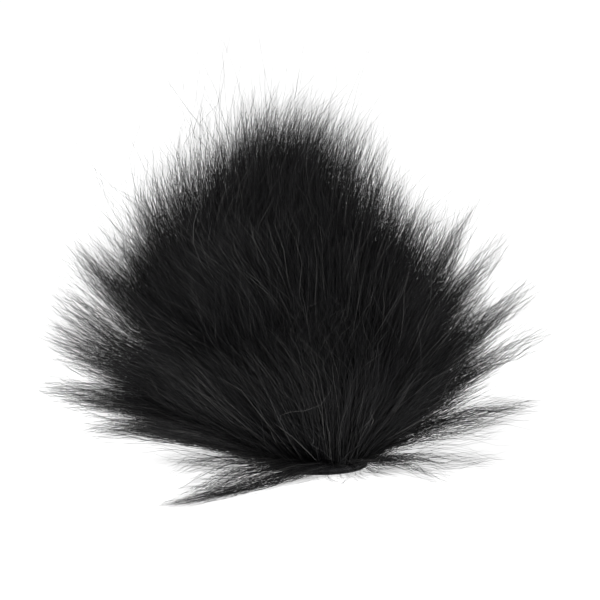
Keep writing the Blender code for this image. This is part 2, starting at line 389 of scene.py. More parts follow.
def bag_roots(area_share):
    """Radius and height on the backing below which lies this share of its area."""
    low = BACKING_BOTTOM_Z + 0.3 * MM
    side = np.linspace(low, SHOULDER_Z, 40)
    dome = np.linspace(0, math.pi / 2, 60)[1:]
    radius = np.concatenate([np.full(len(side), BACKING_RADIUS), BACKING_RADIUS * np.cos(dome)])
    height = np.concatenate([side, SHOULDER_Z + (BACKING_TOP_Z - SHOULDER_Z) * np.sin(dome)])
    band = np.hypot(np.diff(radius), np.diff(height)) * (radius[1:] + radius[:-1])
    below = np.concatenate([[0.0], np.cumsum(band)])
    below /= below[-1]
    return np.interp(area_share, below, radius), np.interp(area_share, below, height)


def evenly(count, offset):
    """Evenly scattered pairs in the unit square (the R2 sequence)."""
    plastic = 1.324717957244746
    index = np.arange(1, count + 1)
    return (offset + index / plastic) % 1.0, (offset + index / plastic**2) % 1.0


class Strands:
    """The lie of many strands: root, heading, rise at the root, turn to the tip, sway, length."""

    def __init__(self, rng, fur, heading, area_share, jitter, length):
        radius, height = bag_roots(area_share)
        count = len(heading)
        up = (height - BACKING_BOTTOM_Z) / (BACKING_TOP_Z - BACKING_BOTTOM_Z)
        face = np.cos(heading) ** 2
        right = np.sin(heading).clip(0, 1) * (1 - up) * fur.right_lift
        rise = np.interp(up, NAP_HEIGHTS, SIDE_ROOT_RISE) * (1 - face)
        rise += np.interp(up, NAP_HEIGHTS, FACE_ROOT_RISE) * face
        tip = np.interp(up, NAP_HEIGHTS, SIDE_TIP_RISE) * (1 - face)
        tip += np.interp(up, NAP_HEIGHTS, FACE_TIP_RISE) * face
        self.root = np.stack([radius * np.sin(heading), -radius * np.cos(heading), height], -1)
        self.heading = heading + rng.normal(size=count) * jitter * 1.3
        self.up = up
        self.rise = np.radians(rise) + right + rng.normal(size=count) * jitter
        self.turn = np.radians(tip) + rng.normal(size=count) * jitter * 1.5 - self.rise
        self.turn = np.where(np.abs(self.turn) < 0.01, 0.01, self.turn)
        self.sway = rng.normal(size=count) * jitter * 1.5
        self.length = length * np.interp(up, NAP_HEIGHTS, PILE_LENGTH)
        self.length *= 1 - fur.left_trim * (0.5 - 0.5 * np.sin(heading)) ** 2 * (1 - 0.9 * up)
        self.lean = fur.lean * np.interp(up, NAP_HEIGHTS, LEAN)
        self.recover = fur.lean * np.interp(up, NAP_HEIGHTS, LEAN_BACK)

    def take(self, index):
        """The same facts for the strands at these indices."""
        chosen = object.__new__(Strands)
        for name, value in self.__dict__.items():
            setattr(chosen, name, value[index])
        return chosen

    def at(self, along):
        """Positions at these shares of each strand's length, as an array (strand, point, xyz)."""
        rise, turn = self.rise[:, None], self.turn[:, None]
        out = (np.sin(rise + turn * along) - np.sin(rise)) / turn
        climb = (np.cos(rise) - np.cos(rise + turn * along)) / turn
        ahead = np.stack([np.sin(self.heading), -np.cos(self.heading)], -1)[:, None, :]
        across = np.stack([np.cos(self.heading), np.sin(self.heading)], -1)[:, None, :]
        flat = ahead * out[..., None] + across * (self.sway[:, None] * along**2)[..., None]
        path = np.concatenate([flat, climb[..., None]], -1)
        path[..., 0] -= self.lean[:, None] * along - self.recover[:, None] * along**2
        return self.root[:, None, :] + path * self.length[:, None, None]


class Tufts:
    """Guide strands on two scales: tufts, and the broad locks that the tufts fall into."""

    def __init__(self, fur):
        rng = np.random.default_rng(fur.seed)
        turns, share = evenly(fur.locks, 0.5)
        turns = turns + rng.normal(size=fur.locks) * 0.03
        share = (share + rng.normal(size=fur.locks) * 0.03).clip(0, 0.99)
        self.locks = Strands(rng, fur, turns * math.tau, share, fur.lock_jitter, fur.reach)
        self.locks.length *= 0.78 + 0.34 * rng.random(fur.locks)
        turns, share = evenly(fur.tufts, 0.25)
        self.tufts = Strands(rng, fur, turns * math.tau, share * 0.995, fur.tuft_jitter, fur.reach)
        self.lock_of = nearest(self.locks.root, self.tufts.root)
        own_length = self.tufts.length * (0.84 + 0.24 * rng.random(fur.tufts))
        self.tufts.length = 0.45 * own_length + 0.55 * self.locks.length[self.lock_of]
        left = 0.5 - 0.5 * np.sin(self.tufts.heading)
        self.fall = np.interp(self.tufts.up, NAP_HEIGHTS, LOCK_GATHER) * (0.65 + 0.35 * left)
        self.fall *= fur.lock_gather * (0.8 + 0.3 * rng.random(fur.tufts))
        self.lock_phase = rng.random((fur.locks, 1, 3)) * math.tau
        self.lock_wave = fur.lock_wave * (0.4 + rng.random((fur.locks, 1, 3)))
        self.phase = rng.random((fur.tufts, 1, 3)) * math.tau
        self.wave = fur.tuft_wave * (0.5 + rng.random((fur.tufts, 1, 3)))

    def at(self, which, along, scale):
        """Points on the tufts with these indices, with the tufts drawn in to their locks."""
        tuft = self.tufts.take(which)
        lock = self.locks.take(self.lock_of[which])
        tuft.length = tuft.length * scale
        lock.length = lock.length * scale
        path = tuft.at(along)
        fall = self.fall[which][:, None] * along**1.6
        path += (lock.at(along) - path) * fall[..., None]
        lock_of = self.lock_of[which]
        sweep = np.sin(self.lock_phase[lock_of] + 4.0 * along[..., None]) * self.lock_wave[lock_of]
        path += sweep * along[..., None] ** 1.3
        wave = np.sin(self.phase[which] + 5.5 * along[..., None]) * self.wave[which]
        return path + wave * along[..., None] ** 1.5


def nearest(guides, roots):
    """Index of the guide whose root is nearest to each root."""
    tree = KDTree(len(guides))
    for index, guide in enumerate(guides):
        tree.insert(guide, index)
    tree.balance()
    return np.array([tree.find(root)[1] for root in roots])


def grow(rng, fur, tufts, quarter, layer):
    """Paths of one gore's hairs in one layer, gathered into their tufts."""
    turns, share = evenly(layer.hairs, rng.random())
    turns = (turns + rng.normal(size=layer.hairs) * 0.004).clip(0, 1)
    share = (share + rng.normal(size=layer.hairs) * 0.004).clip(0.0, 0.995)
    heading = (quarter + turns - 0.5) * QUARTER
    own = Strands(rng, fur, heading, share, layer.jitter, layer.length)
    which = nearest(tufts.tufts.root, own.root)
    scale = layer.length / fur.reach
    own.length = tufts.tufts.length[which] * scale
    wispy = 0.5 + 0.5 * np.sin(heading)
    shorten = layer.shorten * (1 + 0.8 * wispy**2)
    reach = 1.0 - shorten * rng.random(layer.hairs) ** layer.evenness
    steps = np.linspace(0, 1, layer.segments + 1) ** 0.8
    along = reach[:, None] * steps[None, :]
    free = own.at(along)
    led = tufts.at(which, along, scale)
    gather = layer.gather * (1 - 0.25 * wispy) * (1 - 0.5 * own.up**2)
    gather = gather[:, None] * (0.65 + 0.35 * rng.random((layer.hairs, 1)))
    paths = free + (led - free) * (gather * along**1.2)[..., None]
    phase = rng.random((layer.hairs, 1, 3)) * math.tau
    pace = 5.0 + 10.0 * rng.random((layer.hairs, 1, 3))
    size = layer.wave * (0.3 + rng.random((layer.hairs, 1, 3)))
    paths += np.sin(phase + pace * along[..., None]) * size * along[..., None] ** 1.2
    return kept_in(paths), steps


def kept_in(paths):
    """The paths above the floor, and bent round where they reach far out or up."""
    over = paths[..., 2] - TOP_LIMIT
    eased = TOP_LIMIT + TOP_SLACK * np.tanh(over / TOP_SLACK)
    paths[..., 2] = np.where(over > 0, eased, np.maximum(paths[..., 2], FLOOR_GAP))
    over = np.abs(paths[..., :2]) - REACH_LIMIT
    eased = REACH_LIMIT + REACH_SLACK * np.tanh(over / REACH_SLACK)
    paths[..., :2] = np.where(over > 0, np.sign(paths[..., :2]) * eased, paths[..., :2])
    return paths


def stray_lock(rng, fur, lock, layer):
    """Paths of one loose lock."""
    root_heading, share, heading, rise, tip, length, curl, hairs = lock
    spread = rng.normal(size=hairs)
    shares = share * rng.uniform(0.7, 1.3, hairs)
    strands = Strands(rng, fur, np.radians(root_heading + 7 * spread), shares, 0, 1.0)
    strands.heading = np.radians(heading + 5 * spread + 4 * rng.normal(size=hairs))
    strands.rise = np.radians(rise + 4 * rng.normal(size=hairs))
    strands.turn = np.radians(tip - rise + 6 * rng.normal(size=hairs)) + 0.001
    strands.sway = curl * (0.7 + 0.6 * rng.random(hairs))
    strands.lean = 0 * strands.lean
    strands.length = length * MM * (1.08 - 0.5 * rng.random(hairs) ** 1.3)
    steps = np.linspace(0, 1, layer.segments + 1)
    along = np.repeat(steps[None, :], hairs, 0)
    paths = strands.at(along)
    middle = paths.mean(0, keepdims=True)
    paths += (middle - paths) * (0.8 * along**0.8 * (1 - 0.2 * along))[..., None]
    phase = rng.random((hairs, 1, 3)) * math.tau
    pace = 5.0 + 8.0 * rng.random((hairs, 1, 3))
    paths += np.sin(phase + pace * along[..., None]) * layer.wave * along[..., None]
    return kept_in(paths), steps


def neck_fringe(rng, fur, layer):
    """Paths of the short hairs that stick out round the neck, under the pile."""
    hairs = fur.fringe_hairs
    heading = rng.random(hairs) * math.tau
    strands = Strands(rng, fur, heading, 0.005 + 0.04 * rng.random(hairs), 0.25, 1.0)
    strands.rise = np.radians(rng.uniform(-30, 28, hairs))
    strands.turn = np.radians(rng.uniform(-40, 10, hairs)) + 0.001
    strands.lean = 0 * strands.lean
    strands.length = rng.uniform(4, 11, hairs) * MM
    steps = np.linspace(0, 1, layer.segments + 1)
    along = np.repeat(steps[None, :], hairs, 0)
    paths = strands.at(along)
    phase = rng.random((hairs, 1, 3)) * math.tau
    paths += np.sin(phase + 6 * along[..., None]) * layer.wave * 0.5 * along[..., None]
    return kept_in(paths), steps


def strand_mesh(name, rng, paths, steps, thickness):
    """Closed three-sided needles along the paths, in one mesh.

    The point attribute `strand` holds a number from 0 to 1 for each hair.
    """
    count, points, _ = paths.shape
    rings = points - 1
    tangent = np.gradient(paths, axis=1)
    tangent /= np.linalg.norm(tangent, axis=2, keepdims=True)
    any_way = rng.normal(size=(count, 1, 3))
    side = np.cross(tangent, np.cross(tangent[:, :1], any_way))
    side /= np.linalg.norm(side, axis=2, keepdims=True)
    other = np.cross(tangent, side)
    taper = (1 - steps[None, :rings] ** 2.5) ** 0.7
    radius = thickness / 2 * (0.75 + 0.5 * rng.random((count, 1))) * taper
    angles = np.arange(3) * math.tau / 3
    corners = side[:, :rings, None] * np.cos(angles)[:, None]
    corners += other[:, :rings, None] * np.sin(angles)[:, None]
    body = paths[:, :rings, None] + corners * radius[..., None, None]
    verts = np.concatenate([body.reshape(count, -1, 3), paths[:, -1:]], 1)
    quads = []
    for ring in range(rings - 1):
        for corner in range(3):
            a, b = ring * 3 + corner, ring * 3 + (corner + 1) % 3
            quads += [a, b, b + 3, a + 3]
    ends = [2, 1, 0]
    for corner in range(3):
        ends += [rings * 3 - 3 + corner, rings * 3 - 3 + (corner + 1) % 3, rings * 3]
    per_hair = verts.shape[1]
    loops = (np.array(quads + ends)[None, :] + np.arange(count)[:, None] * per_hair).ravel()
    sizes = np.tile([4] * (len(quads) // 4) + [3] * (len(ends) // 3), count)
    mesh = bpy.data.meshes.new(name)
    mesh.vertices.add(count * per_hair)
    mesh.vertices.foreach_set("co", verts.astype(np.float32).ravel())
    mesh.loops.add(len(loops))
    mesh.loops.foreach_set("vertex_index", loops.astype(np.int32))
    mesh.polygons.add(len(sizes))
    mesh.polygons.foreach_set("loop_start", np.cumsum([0, *sizes[:-1]]).astype(np.int32))
    mesh.polygons.foreach_set("use_smooth", np.ones(len(sizes), bool))
    mesh.update(calc_edges=True)
    shade = mesh.attributes.new("strand", "FLOAT", "POINT")
    shade.data.foreach_set("value", np.repeat(rng.random(count), per_hair).astype(np.float32))
    return mesh


def dome_profile(side, rise, bottom, hole, steps):
    """Section of a bag: straight from the bottom to the shoulder, then a dome to the hole."""
    last = math.acos(min(1.0, hole / side))
    straight = [(side, z) for z in np.linspace(bottom, SHOULDER_Z, steps)]
    angles = np.linspace(0, last, steps)[1:]
    return straight + [(side * math.cos(a), SHOULDER_Z + rise * math.sin(a)) for a in angles]


def even_loop(outline, step):
    """The closed outline with points added so that none are further apart than the step."""
    points = []
    for here, there in zip(outline, outline[1:] + outline[:1]):
        count = max(1, math.ceil(math.dist(here, there) / step))
        points += [np.array(here) + (np.array(there) - here) * i / count for i in range(count)]
    return np.array(points)


def cloth_ring(name, outline, start, sweep, columns, step, relief):
    """A band or bag of cloth: its section carried round the axis, with the weave raised on it.

    relief(u, v) gives the height of the yarns at a distance round (u) and along the section (v).
    The UV map holds the same two distances, in millimetres.
    """
    loop = even_loop(outline, step)
    ahead = np.roll(loop, -1, 0) - np.roll(loop, 1, 0)
    normal = np.stack([ahead[:, 1], -ahead[:, 0]], -1)
    normal /= np.linalg.norm(normal, axis=1, keepdims=True) + 1e-12
    gone = np.linalg.norm(np.roll(loop, -1, 0) - loop, axis=1)
    v = np.concatenate([[0.0], np.cumsum(gone)[:-1]])
    closed = abs(sweep) >= math.tau - 1e-6
    angles = start + sweep * np.arange(columns + (not closed)) / columns
    u = (angles - start) * loop[:, 0].max()
    height = relief(u[:, None], v[None, :]) * (loop[:, 0] > 0.2 * MM)
    radius = loop[None, :, 0] + normal[None, :, 0] * height
    z = np.maximum(loop[None, :, 1] + normal[None, :, 1] * height, 0.0)
    verts = np.stack([radius * np.cos(angles)[:, None], radius * np.sin(angles)[:, None], z], -1)
    work = bmesh.new()
    layer = work.loops.layers.uv.new("UVMap")
    grid = [[work.verts.new(point) for point in row] for row in verts]
    around, along = len(grid), len(loop)
    for i in range(columns):
        for j in range(along):
            near, far = grid[i], grid[(i + 1) % around]
            face = work.faces.new((near[j], far[j], far[(j + 1) % along], near[(j + 1) % along]))
            for corner, (a, b) in zip(face.loops, ((i, j), (i + 1, j), (i + 1, j + 1), (i, j + 1))):
                ring = v[b] if b < along else v[-1] + gone[-1]
                corner[layer].uv = (a * sweep / columns * loop[:, 0].max() / MM, ring / MM)
    if not closed:
        work.faces.new(grid[0])
        work.faces.new(grid[-1][::-1])
    bmesh.ops.remove_doubles(work, verts=work.verts, dist=0.004 * MM)
    loose = [edge for edge in work.edges if not edge.link_faces]
    bmesh.ops.delete(work, geom=loose, context="EDGES")
    bmesh.ops.recalc_face_normals(work, faces=work.faces)
    mesh = bpy.data.meshes.new(name)
    work.to_mesh(mesh)
    work.free()
    mesh.polygons.foreach_set("use_smooth", np.ones(len(mesh.polygons), bool))
    return mesh


def jersey(pitch, height):
    """Relief of a plain knit: columns of slanted loops that meet in a V."""

    def relief(u, v):
        column = (u / pitch) % 1.0
        slant = np.abs(column - 0.5) * 2
        return height * np.abs(np.sin(math.pi * (v / (0.85 * pitch) + slant))) * np.sin(
            math.pi * ((2 * column) % 1.0)
        )

    return relief


def ribbed(pitch, height):
    """Relief of grosgrain tape: ribs across the tape."""
    return lambda u, v: height * (0.5 + 0.5 * np.cos(math.tau * u / pitch)) + 0 * v


def braided(pitch, height):
    """Relief of flat braid: yarns that cross at a slant over and under each other."""

    def relief(u, v):
        over, under = np.sin(math.pi * (u + v) / pitch), np.sin(math.pi * (u - v) / pitch)
        return height * np.abs(over * under)

    return relief


def ply_tube(path, radius, closed):
    """Verts and quads of a round yarn along a path, capped if it isn't closed."""
    ahead = np.roll(path, -1, 0) - np.roll(path, 1, 0) if closed else np.gradient(path, axis=0)
    ahead /= np.linalg.norm(ahead, axis=1, keepdims=True)
    side = np.cross(ahead, OFF_THREAD)
    side /= np.linalg.norm(side, axis=1, keepdims=True)
    other = np.cross(ahead, side)
    turn = np.arange(YARN_SIDES) * math.tau / YARN_SIDES
    ring = side[:, None] * np.cos(turn)[:, None] + other[:, None] * np.sin(turn)[:, None]
    verts = (path[:, None] + ring * radius).reshape(-1, 3)
    count = len(path)
    faces = []
    for i in range(count if closed else count - 1):
        here, there = i * YARN_SIDES, (i + 1) % count * YARN_SIDES
        for j in range(YARN_SIDES):
            k = (j + 1) % YARN_SIDES
            faces.append((here + j, here + k, there + k, there + j))
    if not closed:
        faces.append(tuple(range(YARN_SIDES))[::-1])
        faces.append(tuple((count - 1) * YARN_SIDES + j for j in range(YARN_SIDES)))
    return verts, faces


def thread_mesh(name, paths, radius, closed=False):
    """Sewing thread along each path: two plies twisted together."""
    verts, faces = [], []
    for path in paths:
        path = np.array(path)
        gone = np.concatenate([[0.0], np.cumsum(np.linalg.norm(np.diff(path, axis=0), axis=1))])
        turns = round(gone[-1] / TWIST_PITCH) if closed else gone[-1] / TWIST_PITCH
        twist = gone / gone[-1] * turns * math.tau
        ahead = np.gradient(path, axis=0)
        side = np.cross(ahead, OFF_THREAD)
        side /= np.linalg.norm(side, axis=1, keepdims=True)
        other = np.cross(ahead, side)
        other /= np.linalg.norm(other, axis=1, keepdims=True)
        for ply in (0, math.pi):
            off = side * np.cos(twist + ply)[:, None] + other * np.sin(twist + ply)[:, None]
            ply_path = path + off * radius * 0.45
            made, quads = ply_tube(ply_path[:-1] if closed else ply_path, radius * 0.55, closed)
            base = sum(map(len, verts))
            verts.append(made)
            faces += [tuple(base + k for k in face) for face in quads]
    mesh = bpy.data.meshes.new(name)
    mesh.from_pydata(np.concatenate(verts).tolist(), [], faces)
    mesh.polygons.foreach_set("use_smooth", np.ones(len(mesh.polygons), bool))
    mesh.update()
    tidy_normals(mesh)
    return mesh


def tidy_normals(mesh):
    """Turn every face of a mesh outwards."""
    work = bmesh.new()
    work.from_mesh(mesh)
    bmesh.ops.recalc_face_normals(work, faces=work.faces)
    work.to_mesh(mesh)
    work.free()


def show(name, mesh, material, body="cover", replaces=()):
    """Link a finished piece, give it its finish and say what it rides on and stands for."""
    piece = bpy.data.objects.new(name, mesh)
    bpy.context.scene.collection.objects.link(piece)
    mesh.materials.append(material)
    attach(piece, body)
    if replaces:
        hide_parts(*replaces)
    return piece


def hair_layer(label, hairs, length, thickness, segments, jitter, shorten, evenness, gather, wave):
    """A property group for one layer of hair."""
    fields = {
        "hairs": count_property("Hairs", "Hairs on each gore", hairs),
        "length": length_property("Length", "Longest hair", length),
        "thickness": length_property("Thickness", "Diameter of a hair", thickness),
        "segments": count_property("Segments", "Straight runs in a hair", segments),
        "jitter": angle_property("Jitter", "Spread of the hairs' angles", jitter),
        "shorten": share_property("Shorten", "How much shorter the shortest hair is", shorten),
        "evenness": share_property("Evenness", "Above 1, more of the hairs are long", evenness),
        "gather": share_property("Gather", "How far the tips close up into tufts", gather),
        "wave": length_property("Wave", "Size of a hair's waves", wave),
    }
    group = type(f"{label}Layer", (PropertyGroup,), {"__annotations__": fields})
    group.__doc__ = f"Numbers of the {label.lower()} layer."
    return group


UndercoatLayer = hair_layer("Undercoat", 1800, 18, 0.15, 3, 10, 0.4, 1.0, 0.3, 0.3)
AwnLayer = hair_layer("Awn", 4600, 33.5, 0.085, 4, 6, 0.28, 1.5, 0.75, 0.5)
GuardLayer = hair_layer("Guard", 5300, 37, 0.056, 5, 6.0, 0.28, 1.4, 0.8, 0.8)
WispLayer = hair_layer("Wisp", 1600, 42, 0.036, 7, 9, 0.4, 0.8, 0.5, 1.3)
FlyawayLayer = hair_layer("Flyaway", 230, 51, 0.06, 8, 14, 0.38, 0.9, 0.15, 2.4)


class FurSettings(PropertyGroup):
    """How the pile lies and what colour it is."""

    seed: count_property("Seed", "Seed of the pile's random draws", 23)
    locks: count_property("Locks", "Broad locks over the whole pile", 75)
    tufts: count_property("Tufts", "Tufts over the whole pile", 1500)
    reach: length_property("Reach", "Length of a full tuft", 35)
    lock_jitter: angle_property("Lock jitter", "Spread of the locks' angles", 16)
    tuft_jitter: angle_property("Tuft jitter", "Spread of the tufts' angles", 6)
    lock_gather: share_property("Lock gather", "How far tufts fall together into locks", 1.0)
    lock_wave: length_property("Lock wave", "Size of a lock's waves", 2.2)
    tuft_wave: length_property("Tuft wave", "Size of a tuft's waves", 0.7)
    fringe_hairs: count_property("Fringe hairs", "Short hairs round the neck", 650)
    right_lift: angle_property("Right lift", "Extra rise of the low right side", 13)
    left_trim: share_property("Left trim", "How much shorter the pile is on the left", 0.22)
    lean: share_property("Lean", "How far the pile is pressed over to the left", 1.0)
    dark: colour_property("Dark", "Colour of the darkest hair", "#080809")
    light: colour_property("Light", "Colour of the lightest hair", "#161618")
    # Painted highlight: the light grey of the few hairs that stand in for glints.
    lint_and_glint: colour_property("Glint", "Colour of a faded hair", "#626160")
    roughness: share_property("Roughness", "Roughness of the fibre", 0.36)
    gloss: share_property("Gloss", "Specular level of the fibre", 0.22)


class PieceSettings(PropertyGroup):
    """Sizes and colours of what lies under the fur."""

    pore: length_property("Pore", "Distance between the foam's pores", 0.6)
    foam: colour_property("Foam", "Colour of the foam", "#343437")
    # Painted shade: the near-black colour laid into the foam's pores.
    pore_shade: colour_property("Foam pores", "Colour in the pores", "#101011")
    knit_pitch: length_property("Knit pitch", "Width of a column of knit loops", 0.9)
    scrim: colour_property("Scrim", "Colour of the lining", "#18181a")
    backing: colour_property("Backing", "Colour of the fur's backing", "#141415")
    tape: colour_property("Tape", "Colour of the hem tape", "#1b1b1d")
    elastic: colour_property("Elastic", "Colour of the elastic", "#222225")
    thread: colour_property("Thread", "Colour of the thread", "#17171a")
    worn: colour_property("Worn", "Colour of lint and wear on cloth", "#343438")
    thread_radius: length_property("Thread radius", "Radius of the thread", 0.15)
    stitch: length_property("Stitch", "Length of a seam stitch", 1.7)
    hem_stitches: count_property("Hem stitches", "Stitches round the hem", 16)


class StageSettings(PropertyGroup):
    """Camera, paper and light."""

    elevation: angle_property("Elevation", "Camera above the horizontal", 8)
    distance: length_property("Distance", "Camera to object", 330)
    lens: FloatProperty(name="Lens", description="Focal length", default=120.0, unit="CAMERA")
    aim_x: length_property("Aim across", "Aim point to the right of the middle", -3.0)
    aim_z: length_property("Aim up", "Aim point above the paper", 27.7)
    paper: colour_property("Paper", "Colour of the paper", "#f7f7f7")
    glow: share_property("Glow", "Light through the paper", 0.8)
    sky: share_property("Surround", "Light of the white surround", 0.30)
    key: FloatProperty(name="Key", description="Power of the key light", default=7.0, unit="POWER")


class WINDSCREEN_OT_foam_core(Operator):
    """Draw out the foam bullet, sink its bore and open its pores."""

    bl_idname = "windscreen.foam_core"
    bl_label = "Foam core"
    bl_options = {"REGISTER", "UNDO"}

    def execute(self, context):
        pieces = context.scene.windscreen_pieces
        base = CORE_RADIUS - CORE_EDGE
        dome = [math.radians(a) for a in range(10, 86, 15)]
        rings = [(CORE_RADIUS, CORE_EDGE), (CORE_RADIUS, SHOULDER_Z)]
        rings += [
            (CORE_RADIUS * math.cos(a), SHOULDER_Z + (CORE_TOP_Z - SHOULDER_Z) * math.sin(a))
            for a in dome
        ]
        bpy.ops.object.select_all(action="DESELECT")
        bpy.ops.mesh.primitive_circle_add(vertices=64, radius=base, fill_type="NGON")
        core = context.object
        core.name = "foam_bullet"
        bpy.ops.object.mode_set(mode="EDIT")
        bpy.ops.mesh.select_all(action="SELECT")
        draw_out([(base, 0.0), *rings])
        bpy.ops.mesh.select_mode(type="FACE")
        bpy.ops.mesh.select_all(action="DESELECT")
        work = bmesh.from_edit_mesh(core.data)
        for face in work.faces:
            face.select_set(face.calc_center_median().z < 0.01 * MM)
        bmesh.update_edit_mesh(core.data)
        bpy.ops.mesh.inset(thickness=base - BORE_RADIUS - BORE_CHAMFER)
        mouth = BORE_RADIUS + BORE_CHAMFER
        draw_out([(mouth, 0.0), (BORE_RADIUS, BORE_CHAMFER), (BORE_RADIUS, BORE_DEPTH)])
        bpy.ops.mesh.select_all(action="SELECT")
        bpy.ops.mesh.normals_make_consistent(inside=False)
        bpy.ops.object.mode_set(mode="OBJECT")
        bpy.ops.object.modifier_add(type="REMESH")
        core.modifiers[-1].voxel_size = FOAM_CELL
        bpy.ops.object.modifier_apply(modifier=core.modifiers[-1].name)
        pores = bpy.data.textures.new("foam_pores", "VORONOI")
        pores.noise_scale = pieces.pore
        bpy.ops.object.modifier_add(type="DISPLACE")
        sink = core.modifiers[-1]
        sink.texture = pores
        sink.strength = 0.28 * MM
        sink.mid_level = 1.0
        bpy.ops.object.modifier_apply(modifier=sink.name)
        bpy.ops.object.mode_set(mode="EDIT")
        bpy.ops.mesh.select_mode(type="VERT")
        bpy.ops.mesh.select_all(action="DESELECT")
        work = bmesh.from_edit_mesh(core.data)
        for vert in work.verts:
            vert.select_set(vert.co.z < FOOT_DEPTH)
        bmesh.update_edit_mesh(core.data)
        bpy.ops.transform.resize(value=(1, 1, 0), center_override=(0, 0, 0))
        bpy.ops.object.mode_set(mode="OBJECT")
        bpy.ops.object.shade_smooth()
        core.data.materials.append(polyether_foam("polyether_foam", pieces))
        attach(core, "core")
        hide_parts("foam_core")
        return {"FINISHED"}


class WINDSCREEN_OT_scrim(Operator):
    """Knit the lining bag and sew its one seam."""

    bl_idname = "windscreen.scrim"
    bl_label = "Scrim"
    bl_options = {"REGISTER", "UNDO"}

    def execute(self, context):
        pieces = context.scene.windscreen_pieces
        side, top = SCRIM_RADIUS, SCRIM_TOP_Z - SHOULDER_Z
        outside = dome_profile(side, top, SCRIM_BOTTOM_Z, 0.0, 16)
        inside = dome_profile(side - SCRIM_WALL, top - SCRIM_WALL, SCRIM_BOTTOM_Z, 0.0, 16)
        relief = jersey(pieces.knit_pitch * 0.8, 0.07 * MM)
        mesh = cloth_ring("scrim", outside + inside[::-1], 0, math.tau, 168, 0.42 * MM, relief)
        # Polyester warp knit: a dull thin mesh with a faint sheen where it is stretched.
        material = cloth("polyester_scrim", pieces.scrim, pieces.worn, 0.3, 0.8, 0.15)
        show("scrim_bag_knit", mesh, material, replaces=("scrim_bag",))
        bottom = SCRIM_BOTTOM_Z + 0.4 * MM
        profile = dome_profile(side - 0.75 * MM, top - 0.7 * MM, bottom, 1.0 * MM, 24)
        path = zigzag(profile, math.pi / 2, 1.2 * MM, 0.25 * MM, 0.06 * MM)
        mesh = thread_mesh("scrim_stitches", [path], pieces.thread_radius * 0.8)
        material = spun_thread("scrim_thread", pieces.thread, pieces.worn)
        show("scrim_seam_stitches", mesh, material, replaces=("scrim_seam",))
        return {"FINISHED"}


class WINDSCREEN_OT_backing(Operator):
    """Knit the four gores of backing that carry the pile."""

    bl_idname = "windscreen.backing"
    bl_label = "Backing"
    bl_options = {"REGISTER", "UNDO"}

    def execute(self, context):
        pieces = context.scene.windscreen_pieces
        side, top = BACKING_RADIUS, BACKING_TOP_Z - SHOULDER_Z
        outside = dome_profile(side, top, BACKING_BOTTOM_Z, CROWN_HOLE, 14)
        inside = dome_profile(side - BACKING_WALL, top - 0.7 * MM, BACKING_BOTTOM_Z, CROWN_HOLE, 14)
        away = math.asin(SEAM_PARTING / 2 / side)
        # Weft-knitted polyester, brushed and latexed on the back: dull, soft-edged loops.
        material = cloth("knitted_backing", pieces.backing, pieces.worn, 0.4, 0.9, 0.1)
        for quarter, gore in enumerate(GORES):
            start = (quarter - 1.5) * QUARTER + away
            mesh = cloth_ring(
                f"backing_{gore}_knit",
                outside + inside[::-1],
                start,
                QUARTER - 2 * away,
                48,
                0.4 * MM,
                jersey(pieces.knit_pitch, 0.1 * MM),
            )
            show(f"backing_{gore}_knit", mesh, material, replaces=(f"backing_{gore}",))
        return {"FINISHED"}


class WINDSCREEN_OT_seams(Operator):
    """Sew the gores together and knot the crown."""

    bl_idname = "windscreen.seams"
    bl_label = "Seams"
    bl_options = {"REGISTER", "UNDO"}

    def execute(self, context):
        pieces = context.scene.windscreen_pieces
        material = spun_thread("seam_thread", pieces.thread, pieces.worn)
        side, top = BACKING_RADIUS - 0.1 * MM, BACKING_TOP_Z - SHOULDER_Z - 0.15 * MM
        profile = dome_profile(side, top, BACKING_BOTTOM_Z + 0.5 * MM, 1.3 * MM, 30)
        for index, seam in enumerate(SEAMS):
            heading = (index - 0.5) * QUARTER
            path = zigzag(profile, heading, pieces.stitch, 0.6 * MM, 0.15 * MM)
            mesh = thread_mesh(f"seam_{seam}_stitches", [path], pieces.thread_radius)
            stands_for = (f"seam_thread_{seam}",)
            show(f"seam_{seam}_stitches", mesh, material, replaces=stands_for)
        turn = np.linspace(0, 3.4 * math.tau, 140)
        wound = CROWN_TACK_RADIUS - pieces.thread_radius - 0.12 * MM * np.sin(turn / 3.4) ** 2
        rise = np.sin(turn * 0.29) * 0.14 * MM
        knot = about_axis(wound, turn, CROWN_TACK_Z + rise)
        legs = []
        for index in range(4):
            angle = (index - 0.5) * QUARTER
            reach = np.linspace(0.1, 1.9, 16) * MM
            drop = 0.12 * MM * np.sin(np.linspace(0, math.pi, 16))
            legs.append(about_axis(reach, angle, CROWN_TACK_Z + drop))
        mesh = thread_mesh("crown_knot", [knot, *legs], pieces.thread_radius)
        show("crown_knot", mesh, material, replaces=("crown_tack",))
        return {"FINISHED"}


